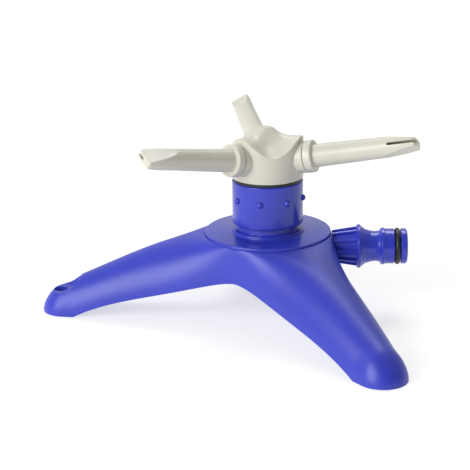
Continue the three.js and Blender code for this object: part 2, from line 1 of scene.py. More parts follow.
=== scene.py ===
"""Looks of a three-arm rotating lawn sprinkler, built as an add-on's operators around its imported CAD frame.

Shapes are worked out in millimetres about the spindle axis, with the ground at height 0, and put into
their meshes in metres. Every finished piece's object sits at the origin.
"""

import json
from math import cos, pi, radians, sin, tan

import bmesh
import bpy
import numpy as np
from mathutils import Euler, Matrix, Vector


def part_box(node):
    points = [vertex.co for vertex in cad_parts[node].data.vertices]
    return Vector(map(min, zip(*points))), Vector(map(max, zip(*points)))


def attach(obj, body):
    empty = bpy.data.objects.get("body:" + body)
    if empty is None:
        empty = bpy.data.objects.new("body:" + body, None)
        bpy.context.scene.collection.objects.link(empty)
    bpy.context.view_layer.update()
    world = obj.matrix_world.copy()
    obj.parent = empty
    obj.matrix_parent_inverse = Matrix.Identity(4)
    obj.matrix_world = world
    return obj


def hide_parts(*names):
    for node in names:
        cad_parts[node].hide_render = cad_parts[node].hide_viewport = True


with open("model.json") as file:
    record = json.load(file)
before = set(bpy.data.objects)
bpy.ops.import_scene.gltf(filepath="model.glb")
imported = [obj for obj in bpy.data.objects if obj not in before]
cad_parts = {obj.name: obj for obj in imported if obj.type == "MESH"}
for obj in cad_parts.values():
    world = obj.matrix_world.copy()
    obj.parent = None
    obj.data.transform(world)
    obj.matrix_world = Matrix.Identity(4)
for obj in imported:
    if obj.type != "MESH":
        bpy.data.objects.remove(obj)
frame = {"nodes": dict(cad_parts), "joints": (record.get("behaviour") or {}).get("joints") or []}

bl_info = {
    "name": "Three-arm lawn sprinkler",
    "version": (1, 0, 0),
    "blender": (4, 5, 0),
    "location": "3D View > Sidebar > Sprinkler",
    "description": "Builds a rotating lawn sprinkler on a moulded tripod base",
    "category": "Add Mesh",
}

MM = 0.001
CROSSING = np.array(frame["joints"][0]["pos_m"]) / MM  # where the arm axes cross the spindle axis
AXIS_X, AXIS_Y, ARMS_MEET = (float(v) for v in CROSSING)
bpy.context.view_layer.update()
SIZES = "sprinkler_sizes"
COLOURS = "sprinkler_colours"


def width(node):
    """Width of a CAD node along Y, in metres."""
    low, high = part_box(node)
    return high[1] - low[1]


def colour(code):
    """An sRGB hex colour as linear red, green, blue and alpha."""
    value = np.array([int(code[i : i + 2], 16) for i in (1, 3, 5)]) / 255
    linear = np.where(value <= 0.04045, value / 12.92, ((value + 0.055) / 1.055) ** 2.4)
    return (*linear.tolist(), 1.0)


# ---- meshes from arrays ----


def grid(points):
    """A surface through an array of points, rows by columns: its vertices and its four-cornered faces."""
    rows, columns = points.shape[:2]
    corner = np.arange(rows * columns).reshape(rows, columns)
    faces = np.stack([corner[:-1, :-1], corner[:-1, 1:], corner[1:, 1:], corner[1:, :-1]], -1)
    return points.reshape(-1, 3), faces.reshape(-1, 4)


def together(patches):
    """Several patches as one."""
    starts = np.cumsum([0] + [len(points) for points, _ in patches])
    faces = [corner + start for (_, corner), start in zip(patches, starts)]
    return np.concatenate([points for points, _ in patches]), np.concatenate(faces)


def moved(patch, *matrices):
    """A patch under 4x4 matrices, the last one first."""
    points, faces = patch
    for matrix in reversed(matrices):
        turn = np.array(matrix)
        points = points @ turn[:3, :3].T + turn[:3, 3]
    return points, faces


def turn_x(angle):
    return Matrix.Rotation(radians(angle), 4, "X")


def turn_y(angle):
    return Matrix.Rotation(radians(angle), 4, "Y")


def turn_z(angle):
    return Matrix.Rotation(radians(angle), 4, "Z")


def shift(x=0.0, y=0.0, z=0.0):
    return Matrix.Translation((x, y, z))


def rounded(corners, steps=5):
    """A profile whose corners (radius, height, rounding) are arcs: each arc touches both sides, and its
    centre lies on the corner's bisector at the rounding over the sine of the half angle."""
    points = np.array([corner[:2] for corner in corners], float)
    parts = []
    for i, (_, _, *rounding) in enumerate(corners):
        here = points[i]
        if not rounding:
            parts.append(here[None])
            continue
        before, after = points[i - 1] - here, points[(i + 1) % len(points)] - here
        limit = 0.49 * min(np.linalg.norm(before), np.linalg.norm(after))
        before, after = before / np.linalg.norm(before), after / np.linalg.norm(after)
        half = np.arccos(np.clip(before @ after, -1, 1)) / 2
        reach = min(rounding[0] / tan(half), limit)
        size = reach * tan(half)
        middle = here + (before + after) / np.linalg.norm(before + after) * size / sin(half)
        start, end, sweep = here + before * reach - middle, here + after * reach - middle, pi - 2 * half
        t = np.linspace(0, 1, steps)[:, None]
        parts.append(middle + (start * np.sin((1 - t) * sweep) + end * np.sin(t * sweep)) / sin(sweep))
    return np.concatenate(parts)


def lathe(profile, segments=96):
    """A profile of radius and height carried round the Z axis: x = r cos a, y = r sin a, z = h.
    A profile off the axis comes back to its first point."""
    profile = np.asarray(profile, float)
    if profile[0, 0] > 0:
        profile = np.vstack([profile, profile[:1]])
    angle = np.linspace(0, 2 * pi, segments + 1)
    radius, height = profile[:, :1], profile[:, 1:] * np.ones_like(angle)
    return grid(np.stack([radius * np.cos(angle), radius * np.sin(angle), height], -1))


def rod(radius, bottom, top, segments=64):
    """A plain cylinder, used to add or cut."""
    return lathe([[0, bottom], [radius, bottom], [radius, top], [0, top]], segments)


def loft(sections):
    """A closed solid through rings of points, whose first and last rings close onto their middles."""
    first, last = sections[:1].mean(1, keepdims=True), sections[-1:].mean(1, keepdims=True)
    count = sections.shape[1]
    rings = np.concatenate([first.repeat(count, 1), sections, last.repeat(count, 1)])
    return grid(np.concatenate([rings, rings[:, :1]], 1))


def prism(outline, low, high):
    """An outline of (y, z) points drawn out along X from low to high."""
    outline = np.asarray(outline, float)
    sections = [np.column_stack([np.full(len(outline), x), outline]) for x in (low, high)]
    return loft(np.array(sections))


def torus(radius, section, rows=96, columns=28):
    """A ring about Z: the distance from the axis is the radius plus the section's radius times the cosine."""
    around, across = np.linspace(0, 2 * pi, rows + 1), np.linspace(0, 2 * pi, columns + 1)
    around, across = np.meshgrid(around, across, indexing="ij")
    reach = radius + section / 2 * np.cos(across)
    return grid(np.stack([reach * np.cos(around), reach * np.sin(around), section / 2 * np.sin(across)], -1))


def welded(mesh):
    """The mesh with points that lie together merged, which drops the slivers that a cut leaves."""
    shape = bmesh.new()
    shape.from_mesh(mesh)
    bmesh.ops.remove_doubles(shape, verts=shape.verts, dist=0.001 * MM)
    shape.to_mesh(mesh)
    shape.free()


def built(name, *patches):
    """An object of one closed mesh in metres: seams and poles merged, faces outwards."""
    points, faces = together(patches)
    mesh = bpy.data.meshes.new(name)
    mesh.from_pydata((points + (AXIS_X, AXIS_Y, 0)) * MM, [], faces)
    shape = bmesh.new()
    shape.from_mesh(mesh)
    bmesh.ops.remove_doubles(shape, verts=shape.verts, dist=0.002 * MM)
    bmesh.ops.recalc_face_normals(shape, faces=shape.faces)
    shape.to_mesh(mesh)
    shape.free()
    made = bpy.data.objects.new(name, mesh)
    bpy.context.scene.collection.objects.link(made)
    return made


def carved(blank, steps):
    """The blank after each (operation, patch or patches) in order."""
    tools = []
    for i, (operation, *patches) in enumerate(steps):
        tool = built(f"tool_{i}", *patches)
        change = blank.modifiers.new(tool.name, "BOOLEAN")
        change.operation = operation
        change.solver = "MANIFOLD"
        change.object = tool
        tools.append(tool)
    bpy.context.view_layer.update()
    graph = bpy.context.evaluated_depsgraph_get()
    mesh = bpy.data.meshes.new_from_object(blank.evaluated_get(graph))
    welded(mesh)
    blank.modifiers.clear()
    blank.data = mesh
    mesh.name = blank.name
    for tool in tools:
        bpy.data.objects.remove(tool)
    if len(mesh.polygons) == 0:
        raise RuntimeError(f"{blank.name} came out empty")
    return blank


def finished(piece, material, body, slot, *nodes, crease=32):
    """Shades the piece, gives it its material and body, and lets it stand for its CAD nodes."""
    piece.data.shade_smooth()
    piece.data.set_sharp_from_angle(angle=radians(crease))
    piece.data.materials.clear()
    piece.data.materials.append(material)
    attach(piece, body)
    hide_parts(*nodes)
    return piece


# ---- materials ----


def node(tree, kind, settings=None, **links):
    """Adds a node, sets its properties and sockets, and links sockets named by their place in the node."""
    made = tree.nodes.new(kind)
    for key, value in (settings or {}).items():
        if hasattr(made, key):
            setattr(made, key, value)
        else:
            made.inputs[key].default_value = value
    for key, source in links.items():
        tree.links.new(source, made.inputs[key.replace("_", " ")])
    return made


def new_material(name, settings):
    """A material whose surface is one Principled shader with constant settings."""
    made = bpy.data.materials.new(name)
    made.use_nodes = True
    tree = made.node_tree
    tree.nodes.clear()
    shader = node(tree, "ShaderNodeBsdfPrincipled", settings)
    output = node(tree, "ShaderNodeOutputMaterial")
    tree.links.new(shader.outputs["BSDF"], output.inputs["Surface"])
    place = node(tree, "ShaderNodeTexCoord").outputs["Object"]
    return made, tree, shader, place


def grains(millimetres):
    """Noise scale that gives one cell in that many millimetres of Object coordinates."""
    return 1 / (millimetres * MM)


def moulded(name, light, dark, roughness, spread, settings, peel, height):
    """A moulded part: slow drifts of tone and gloss where the melt cooled, and a fine skin whose grain is
    peel wide and height high, in millimetres."""
    made, tree, shader, place = new_material(name, settings)
    drift = {"Scale": grains(17), "Detail": 3.0, "Roughness": 0.5}
    flow = node(tree, "ShaderNodeTexNoise", drift, Vector=place)
    tone = node(tree, "ShaderNodeValToRGB", Fac=flow.outputs["Fac"])
    tone.color_ramp.elements[0].position = 0.3
    tone.color_ramp.elements[0].color = dark
    tone.color_ramp.elements[1].position = 0.7
    tone.color_ramp.elements[1].color = light
    tree.links.new(tone.outputs["Color"], shader.inputs["Base Color"])
    marks = {"Scale": grains(4.5), "Detail": 4.0, "Roughness": 0.6}
    scuff = node(tree, "ShaderNodeTexNoise", marks, Vector=place)
    limits = {"To Min": roughness - spread, "To Max": roughness + spread}
    gloss = node(tree, "ShaderNodeMapRange", limits, Value=scuff.outputs["Fac"])
    tree.links.new(gloss.outputs["Result"], shader.inputs["Roughness"])
    skin = node(tree, "ShaderNodeTexNoise", {"Scale": grains(peel), "Detail": 2.0}, Vector=place)
    relief = {"Strength": 0.5, "Distance": height * MM}
    bump = node(tree, "ShaderNodeBump", relief, Height=skin.outputs["Fac"])
    tree.links.new(bump.outputs["Normal"], shader.inputs["Normal"])
    return made


def blue_satin():
    """Polypropylene, moulded in a spark-finished tool: deep blue with a fine grain and wide, soft
    highlights."""
    c = getattr(bpy.context.scene, COLOURS)
    light, dark = tuple(c.blue), tuple(c.blue_deep)
    return moulded("blue_polypropylene_spark_finished", light, dark, 0.4, 0.04, {"IOR": 1.49}, 0.7, 0.004)


def blue_gloss():
    """Polypropylene, moulded in a polished tool: the same blue, with tighter highlights and clear
    reflections."""
    c = getattr(bpy.context.scene, COLOURS)
    light, dark = tuple(c.blue), tuple(c.blue_deep)
    return moulded("blue_polypropylene_polished", light, dark, 0.2, 0.035, {"IOR": 1.49}, 1.1, 0.0012)


def grey_satin():
    """Polypropylene, moulded with a light spark finish: warm light grey, satin."""
    c = getattr(bpy.context.scene, COLOURS)
    light, dark = tuple(c.grey), tuple(c.grey_deep)
    return moulded("grey_polypropylene_moulded", light, dark, 0.33, 0.04, {"IOR": 1.49}, 0.8, 0.003)


def black_nitrile():
    """Nitrile rubber, moulded seals: near black, dull, with a powdery bloom in places."""
    c = getattr(bpy.context.scene, COLOURS)
    settings = {"IOR": 1.52, "Metallic": 0.0}
    light = tuple(min(v * 1.9, 1.0) for v in tuple(c.rubber)[:3]) + (1.0,)
    return moulded("black_nitrile_moulded", light, tuple(c.rubber), 0.45, 0.08, settings, 0.6, 0.01)


def white_acetal():
    """Acetal, turned: bearing parts in milky white with fine tool lines round the axis."""
    c = getattr(bpy.context.scene, COLOURS)
    made, tree, shader, place = new_material("white_acetal_turned", {"IOR": 1.48, "Roughness": 0.33})
    tone = node(tree, "ShaderNodeTexNoise", {"Scale": grains(6), "Detail": 2.0}, Vector=place)
    ramp = node(tree, "ShaderNodeValToRGB", Fac=tone.outputs["Fac"])
    ramp.color_ramp.elements[0].color = tuple(c.acetal)
    ramp.color_ramp.elements[1].color = colour("#f3f1ea")
    tree.links.new(ramp.outputs["Color"], shader.inputs["Base Color"])
    lines = {"bands_direction": "Z", "Scale": grains(0.35) / 20, "Distortion": 0.0}
    turned = node(tree, "ShaderNodeTexWave", lines, Vector=place)
    relief = {"Strength": 0.3, "Distance": 0.01 * MM}
    bump = node(tree, "ShaderNodeBump", relief, Height=turned.outputs["Fac"])
    tree.links.new(bump.outputs["Normal"], shader.inputs["Normal"])
    return made


def zinc_steel():
    """Steel, zinc plated: pale screws with a slightly cloudy, frosted shine."""
    c = getattr(bpy.context.scene, COLOURS)
    made, tree, shader, place = new_material("steel_zinc_plated", {"Metallic": 1.0})
    cloud = node(tree, "ShaderNodeTexNoise", {"Scale": grains(1.6), "Detail": 5.0}, Vector=place)
    tone = node(tree, "ShaderNodeValToRGB", Fac=cloud.outputs["Fac"])
    tone.color_ramp.elements[0].color = tuple(c.steel)
    tone.color_ramp.elements[1].color = colour("#d6d8da")
    tree.links.new(tone.outputs["Color"], shader.inputs["Base Color"])
    gloss = node(tree, "ShaderNodeMapRange", {"To Min": 0.22, "To Max": 0.42}, Value=cloud.outputs["Fac"])
    tree.links.new(gloss.outputs["Result"], shader.inputs["Roughness"])
    return made


FINISHES = {
    "blue_satin": blue_satin,
    "blue_gloss": blue_gloss,
    "grey_satin": grey_satin,
    "black_rubber": black_nitrile,
    "white_acetal": white_acetal,
    "screw_steel": zinc_steel,
}


def finish_of(name):
    """The material of a finish, made once."""
    key = f"finish_{name}"
    held = bpy.context.scene.get(key)
    if held is None:
        held = FINISHES[name]()
        bpy.context.scene[key] = held
    return held


# ---- tripod base ----

LEG_PLACES = (180.0, 300.0, 86.0)  # azimuths of the legs in order, degrees
WALL_START = 60.0  # a wide gap's wall is round from here on, degrees from the leg
LEG_TAPER = 0.151  # radians
LEG_EDGE_PULL, CROTCH_PULL, CROTCH_RADIUS = 6.7, 12.2, 29.2
RIDGE_HEIGHTS = (36.6, 31.2, 22.5, 13.3)
ARCH_HEIGHTS, ARCH_END = (20.6, 10.9, 10.7, 0.0), 88.9
RIDGE_BLEND, DOME_SHARPNESS, DOME_FULLNESS = 14.0, 2.12, 1.91
BASE_WALL, ROOF_WALL = 2.6, 3.0
PEG_REACH = 94.7


def half_outline(sizes, half_gap, foot_steps=20, edge_steps=78, arc_steps=16):
    """Half a leg from above: an arc round the foot, then a cubic curve that leaves the foot along the leg's
    taper and meets the wall between two legs square to its bisector, then an arc of the wall where the gap
    is wide. Gives each point, the direction out of the leg, its share of the ridge and its turn round the
    disc."""
    foot, reach = sizes.foot_radius / MM, sizes.foot_reach / MM
    a = (pi / 2 - LEG_TAPER) * np.linspace(0, 1, foot_steps + 1)
    foot_out = np.stack([np.cos(a), np.sin(a)], -1)
    foot_at = foot_out * foot + (reach, 0)
    wall = radians(min(half_gap, WALL_START))
    p0, p3 = foot_at[-1], CROTCH_RADIUS * np.array([cos(wall), sin(wall)])
    p1 = p0 + LEG_EDGE_PULL * np.array([-cos(LEG_TAPER), sin(LEG_TAPER)])
    p2 = p3 + CROTCH_PULL * np.array([sin(wall), -cos(wall)])
    t = np.linspace(0, 1, edge_steps + 1)[1:, None]
    s = 1 - t
    edge_at = s**3 * p0 + 3 * s * s * t * p1 + 3 * s * t * t * p2 + t**3 * p3
    slope = s * s * (p1 - p0) + 2 * s * t * (p2 - p1) + t * t * (p3 - p2)
    slope /= np.linalg.norm(slope, axis=1, keepdims=True)
    edge_out = np.stack([slope[:, 1], -slope[:, 0]], -1)
    split = 8 / 13  # of the curve, the stretch that faces the leg's ridge
    edge_share = np.maximum(1 - t[:, 0] / split, 0)
    edge_turn = wall * np.maximum(t[:, 0] - split, 0) / (1 - split)
    wide = half_gap > WALL_START
    arc_turn = np.linspace(wall, radians(half_gap), arc_steps + 1)[1:] if wide else np.zeros(0)
    arc_out = np.stack([np.cos(arc_turn), np.sin(arc_turn)], -1)
    at = np.concatenate([foot_at, edge_at, arc_out * CROTCH_RADIUS])
    out = np.concatenate([foot_out, edge_out, arc_out])
    share = np.concatenate([np.ones(len(a)), edge_share, np.zeros(len(arc_turn))])
    turn = np.concatenate([np.zeros(len(a)), edge_turn, arc_turn])
    return at, out, share, turn


def distance_to_line(points, line):
    """Distance from each point to the nearest stretch of an open line."""
    start, step = line[:-1], np.diff(line, axis=0)
    flat = points.reshape(-1, 1, 2) - start
    along = np.clip((flat * step).sum(-1) / np.maximum((step * step).sum(-1), 1e-12), 0, 1)
    return np.linalg.norm(flat - along[..., None] * step, axis=-1).min(1).reshape(points.shape[:-1])


def ridge_height(sizes, reach):
    """The leg's top: the cubic through four heights at equal steps from the disc to the foot."""
    disc, foot = sizes.disc_radius / MM, sizes.foot_reach / MM
    steps = np.linspace(disc, foot, 4)
    return np.polyval(np.polyfit(steps, RIDGE_HEIGHTS, 3), reach)


def arch_height(reach):
    """The leg's lower edge: a cubic through control heights from the wall to where it meets the ground."""
    t = np.clip((reach - CROTCH_RADIUS) / (ARCH_END - CROTCH_RADIUS), 0, 1)
    a, b, c, d = ARCH_HEIGHTS
    return (1 - t) ** 3 * a + 3 * (1 - t) ** 2 * t * b + 3 * (1 - t) * t * t * c + t**3 * d


def dome_height(sizes, points, rim, inset, lowered):
    """The moulding's skin: from the lower edge up to the ridge by a rounded rise. The rise depends on the
    distance to the outline over that distance plus the distance to the level top, which is the smooth
    lesser of the distances to the leg's ridge and to the disc."""
    reach = np.linalg.norm(points, axis=-1)
    to_ridge = np.hypot(np.maximum(points[..., 0] - sizes.foot_reach / MM, 0), points[..., 1])
    to_disc = np.maximum(reach - (sizes.disc_radius / MM - inset / 2), 0)
    mix = np.clip(0.5 + 0.5 * (to_disc - to_ridge) / RIDGE_BLEND, 0, 1)
    to_top = np.maximum(to_disc * (1 - mix) + to_ridge * mix - RIDGE_BLEND * mix * (1 - mix), 0)
    to_edge = distance_to_line(points, rim)
    depth = to_edge / np.maximum(to_edge + to_top, 1e-6)
    rise = (1 - (1 - depth) ** DOME_SHARPNESS) ** (1 / DOME_FULLNESS)
    low = arch_height(reach)
    return low + (ridge_height(sizes, reach) - lowered - low) * rise


def half_leg(sizes, half_gap, inset, lowered, floor=None, rows=26):
    """Half a leg as closed patches: the dome between the outline and the level top, the level roof under
    the disc, and the underside, which follows the lower edge or drops straight to a floor."""
    at, out, share, turn = half_outline(sizes, half_gap)
    rim = at - out * inset
    disc = sizes.disc_radius / MM - inset / 2
    reach = disc + (sizes.foot_reach / MM - disc) * share
    top = np.stack([np.cos(turn), np.sin(turn)], -1) * reach[:, None]
    roof = RIDGE_HEIGHTS[0] - lowered
    v = np.linspace(0, 1, rows)[:, None, None] ** 2.1
    across = rim * (1 - v) + top * v
    height = dome_height(sizes, across, rim, inset, lowered)
    height[-1, share == 0] = roof
    dome = np.concatenate([across, height[..., None]], -1)
    inner = dome[-1, share == 0] * np.linspace(1, 0, 2)[:, None, None]
    inner[..., 2] = roof
    edge = np.concatenate([rim, dome[0, :, 2:]], -1)
    if floor is None:
        under = edge * np.array([1, 0.94, 0.5, 0])[:, None, None]
        under[1:, :, 2] = arch_height(np.linalg.norm(under[1:, :, :2], axis=-1))
        under[0] = edge
    else:
        under = edge * np.array([1, 1, 0])[:, None, None]
        under[0, :, 2] = edge[:, 2]
        under[1:, :, 2] = floor
    return together([grid(dome), grid(inner), grid(under)])


def tripod_shape(sizes, inset, lowered, floor=None):
    """The halves of all the legs about the spindle axis."""
    halves = []
    for k, place in enumerate(LEG_PLACES):
        after = (LEG_PLACES[(k + 1) % 3] - place) % 360
        before = (place - LEG_PLACES[k - 1]) % 360
        halves.append(moved(half_leg(sizes, after / 2, inset, lowered, floor), turn_z(place)))
        mirror = Matrix.Diagonal((1, -1, 1, 1))
        halves.append(moved(half_leg(sizes, before / 2, inset, lowered, floor), turn_z(place), mirror))
    return halves


SCREW_TURNS, SCREW_CIRCLE = (180, 300, 60), 22.5
DISC_BOTTOM, DISC_TOP, DISC_GAP = 35.7, 37.7, 0.3
FOOT_FLOOR, FOOT_FLOOR_RADIUS = 6.6, 9.8  # solid moulding kept under the peg hole's dish


def screw_places(patch):
    """A patch repeated at the three screws."""
    return [moved(patch, turn_z(angle), shift(SCREW_CIRCLE)) for angle in SCREW_TURNS]


class SPRINKLER_OT_base(bpy.types.Operator):
    """Moulds the tripod base: a thin shell with three legs, a seat for the disc, a port and a peg hole"""

    bl_idname = "sprinkler.base"
    bl_label = "Tripod base"

    def execute(self, context):
        sizes = getattr(context.scene, SIZES)
        disc, inlet = sizes.disc_radius / MM, sizes.inlet_height / MM
        at_peg = shift(-PEG_REACH)
        kept_floor = moved(rod(FOOT_FLOOR_RADIUS, FOOT_FLOOR, 40), at_peg)
        inner = tripod_shape(sizes, BASE_WALL, ROOF_WALL, -5.0)
        hollow = carved(built("hollow", *inner), [("DIFFERENCE", kept_floor)])
        piece = built("base_shell", *tripod_shape(sizes, 0.0, 0.0))
        cut = piece.modifiers.new("hollow", "BOOLEAN")
        cut.operation, cut.solver, cut.object = "DIFFERENCE", "MANIFOLD", hollow
        pad = rounded([(0, 9.6), (6.2, 9.6, 1.6), (7.8, 10.6, 1.2), (10.2, 14.8), (10.2, 30), (0, 30)])
        carved(piece, [
            ("DIFFERENCE", rod(disc + DISC_GAP, DISC_BOTTOM, 42.7, 128)),
            ("DIFFERENCE", rod(17, inlet, DISC_TOP)),
            ("DIFFERENCE", moved(rod(sizes.port_radius / MM, 0, 45), shift(z=inlet), turn_y(90))),
            ("DIFFERENCE", moved(lathe(pad), at_peg)),
            ("DIFFERENCE", moved(rod(sizes.peg_hole / MM / 2, -1, 20), at_peg)),
            ("DIFFERENCE", *screw_places(rod(3.7, inlet, DISC_TOP, 40))),
        ])
        bpy.data.objects.remove(hollow)
        finished(piece, finish_of("blue_satin"), "base", "blue_plastic", "tripod_base", crease=38)
        return {"FINISHED"}


class SPRINKLER_OT_waterway(bpy.types.Operator):
    """Turns the disc, the ring lip and the neck, with the inlet pipe and screw bosses under them"""

    bl_idname = "sprinkler.waterway"
    bl_label = "Waterway body"

    def execute(self, context):
        sizes = getattr(context.scene, SIZES)
        disc, inlet = sizes.disc_radius / MM, sizes.inlet_height / MM
        outside = rounded([
            (0, DISC_BOTTOM), (disc, DISC_BOTTOM, 0.3), (disc, DISC_TOP, 0.55),
            (16.3, DISC_TOP, 0.35), (16.3, 39, 0.45), (13.7, 39, 0.3), (13.7, 56, 0.3), (0, 56),
        ])
        inside = [(0, 25), (6, 25), (6, 41), (7.3, 42), (7.3, 50.5), (12.2, 50.5), (12.2, 57), (0, 57)]
        along = (shift(z=inlet), turn_y(90))
        pipe = rounded([(0, 0), (7.3, 0), (7.3, 28.4, 0.3), (0, 28.4)])
        piece = carved(built("disc_and_neck", lathe(outside, 160)), [
            ("UNION", rod(9.5, 21.5, 36.7)),
            ("UNION", moved(lathe(pipe, 72), *along)),
            ("UNION", *screw_places(rod(3.4, 31.8, 36.7, 40))),
            ("DIFFERENCE", lathe(inside)),
            ("DIFFERENCE", moved(rod(4.5, 0, 19.5), *along)),
            ("DIFFERENCE", moved(rod(5.9, 18.5, 29.4), *along)),
            ("DIFFERENCE", *screw_places(rod(1.6, 30.8, 36.3, 24))),
        ])
        finished(piece, finish_of("blue_gloss"), "base", "blue_plastic", "waterway_body")
        return {"FINISHED"}


class SPRINKLER_OT_screws(bpy.types.Operator):
    """Turns the three cross-recess screws under the base"""

    bl_idname = "sprinkler.screws"
    bl_label = "Base screws"

    def execute(self, context):
        head = rounded([
            (0, 29.4), (3, 29.4, 0.6), (4, 30.2, 0.4), (4, 31.6, 0.2), (1.3, 31.6), (1.3, 35), (0, 36),
        ])
        bar = [(-0.45, 28.4), (0.45, 28.4), (0.45, 30.0), (-0.45, 30.0)]
        for k, angle in enumerate(SCREW_TURNS):
            at = (turn_z(angle), shift(SCREW_CIRCLE))
            piece = carved(built(f"screw_{k + 1}", moved(lathe(head, 48), *at)), [
                ("DIFFERENCE", moved(prism(bar, -2.2, 2.2), *at)),
                ("DIFFERENCE", moved(prism(bar, -2.2, 2.2), *at, turn_z(90))),
            ])
            finished(piece, finish_of("screw_steel"), "base", "screw_steel", f"base_screw_{k + 1}")
        return {"FINISHED"}


# ---- hose connector ----

RIB_COUNT, RIB_START = 10, 90  # degrees about the connector's own axis
RIB_FOOT, RIB_HALF_WIDTH, RIB_ROUNDING = 5.4, 0.6, 0.3


def grip_rib(start, end, low, high):
    """A rib that grows along its length: a strip with a rounded top, (x, y, radius) for each station."""
    half, rounding = RIB_HALF_WIDTH, RIB_ROUNDING
    profile = rounded([(-half, RIB_FOOT), (-half, 0.0, rounding), (half, 0.0, rounding), (half, RIB_FOOT)])
    sections = []
    for x, top in ((start, low), (end, high)):
        radius = np.where(profile[:, 1] > 5, RIB_FOOT, top - profile[:, 1])
        sections.append(np.column_stack([np.full(len(profile), x), profile[:, 0], radius]))
    return loft(np.array(sections))


class SPRINKLER_OT_connector(bpy.types.Operator):
    """Turns the click-on hose connector with its ribbed grip, and its O-ring"""

    bl_idname = "sprinkler.connector"
    bl_label = "Hose connector"

    def execute(self, context):
        sizes = getattr(context.scene, SIZES)
        nose, end = sizes.nose_radius / MM, sizes.nose_end / MM
        level = shift(z=sizes.inlet_height / MM)
        outside = rounded([
            (0, 20.3), (5.6, 20.3), (5.6, 28.7), (6.1, 28.7), (7.7, 39.6), (9.3, 39.6, 0.3), (9.9, 40.2, 0.4),
            (9.9, 41.2, 0.5), (9.1, 41.8, 0.6), (7.75, 43.6, 1.2), (7, 46, 3), (6.75, 48.2, 2), (7, 49.8, 0.8),
            (7.9, 50.4, 0.3), (8.3, 50.8, 0.3), (8.3, 52, 0.3), (7.9, 52.4), (7.9, 56.4, 0.2), (5.8, 56.4),
            (5.8, 59.4), (nose, 59.4, 0.2), (nose, end - 0.7, 0.5), (nose - 0.7, end, 0.5), (0, end),
        ])
        rib, step = grip_rib(28.7, 39.9, 7.2, 8.9), 360 / RIB_COUNT
        ribs = [moved(rib, level, turn_x(RIB_START + step * k)) for k in range(RIB_COUNT)]
        piece = carved(built("hose_nipple", moved(lathe(outside, 128), level, turn_y(90))), [
            ("UNION", *ribs),
            ("DIFFERENCE", moved(rod(4.75, 19, end + 1), level, turn_y(90))),
        ])
        finished(piece, finish_of("blue_gloss"), "base", "blue_plastic", "hose_connector")
        seal = built("hose_seal", moved(torus(7.1, 2.3), level, shift(57.9), turn_y(90)))
        finished(seal, finish_of("black_rubber"), "base", "black_rubber", "connector_o_ring")
        return {"FINISHED"}


# ---- collar ----

NUB_COUNT, NUB_SPACING, NUB_START = 7, 45, 213.6  # degrees round the collar
NUB_HEIGHT, NUB_SINK = 53.5, 0.1


class SPRINKLER_OT_collar(bpy.types.Operator):
    """Turns the collar nut with its round grip nubs, and the black washer on it: a real washer whose black also
    paints the shade in the gap between hub and collar
    """

    bl_idname = "sprinkler.collar"
    bl_label = "Collar nut"

    def execute(self, context):
        sizes = getattr(context.scene, SIZES)
        radius, nub = sizes.collar_radius / MM, sizes.nub_radius / MM
        profile = rounded([
            (14, 41.6, 0.2), (radius, 41.6, 1.2), (radius, 61.2, 0.5), (8.6, 61.2, 0.2), (8.6, 57), (14, 57),
        ], 7)
        t = np.linspace(-pi / 2, pi / 2, 17)
        ball = lathe(np.stack([nub * np.cos(t) * (np.abs(t) < 1.5), nub * np.sin(t)], -1), 32)
        turns = NUB_START + NUB_SPACING * np.arange(NUB_COUNT)
        nubs = [moved(ball, turn_z(turn), shift(radius - NUB_SINK, 0, NUB_HEIGHT)) for turn in turns]
        piece = carved(built("collar", lathe(profile, 160)), [("UNION", *nubs)])
        finished(piece, finish_of("blue_gloss"), "base", "blue_plastic", "collar_nut")
        # Black washer between hub and collar: a real part, and its black also paints the shade that fills the gap
        # there.
        band = rounded([(8.6, 61.3), (15.4, 61.3, 0.15), (15.4, 62.4, 0.15), (8.6, 62.4)])
        washer = built("slip_ring_painted_gap_shade", lathe(band, 128))
        finished(washer, finish_of("black_rubber"), "base", "black_rubber", "slip_washer")
        return {"FINISHED"}


# ---- rotor ----

HUB_BOTTOM, HUB_PEAK = 62.6, 15.7  # above the ground, and above the arms' crossing
CREST_HEIGHT, CREST_REACH, CREST_RISE, CREST_RUN = 12.57, 9.6, 0.0635, 0.006
VALLEY_DEPTH, VALLEY_POWER = 3.88, 1.35
WEDGE_HALF_THICKNESS, TIP_ROUNDING = 1.6, 1.3
SLOT_TURN = -120  # the flats and slot about the arm's own axis, degrees


def hub_top(sizes, x, y):
    """Height of the hub's top above the arms' crossing: a crest that falls outwards, less a valley between
    the arms that deepens as a power of the radius times one minus the cosine of three times the angle, cut
    off level."""
    reach = np.hypot(x, y)
    crest = CREST_HEIGHT + np.where(reach < CREST_REACH, CREST_RISE, CREST_RUN) * (reach - CREST_REACH) ** 2
    valley = VALLEY_DEPTH * (reach / (sizes.hub_radius / MM)) ** VALLEY_POWER
    return np.minimum(HUB_PEAK, crest - valley * (1 - np.cos(3 * np.arctan2(y, x))))


def hub_blank(sizes, segments=240, rings=30, edge=0.45):
    """The hub without its sockets: a wall, a rounded shoulder and the lobed top, as height over radius and
    angle."""
    radius, bottom = sizes.hub_radius / MM, HUB_BOTTOM - ARMS_MEET
    angle = np.linspace(0, 2 * pi, segments + 1)
    inner = np.linspace(0, radius - edge, rings)[::-1, None]
    top = hub_top(sizes, inner * np.cos(angle), inner * np.sin(angle))
    t = np.linspace(pi / 2, 0, 7)[:-1, None]
    shoulder_r = radius - edge + edge * np.sin(t) + 0 * angle
    shoulder_z = top[0] - edge * (1 - np.cos(t))
    low_r = np.array([0, radius - 0.4, radius - 0.12, radius])[:, None] + 0 * angle
    low_z = np.array([0, 0, 0.12, 0.4])[:, None] + bottom + 0 * angle
    r = np.concatenate([low_r, shoulder_r, inner + 0 * angle])
    z = np.concatenate([low_z, shoulder_z, top])
    return grid(np.stack([r * np.cos(angle), r * np.sin(angle), z], -1))


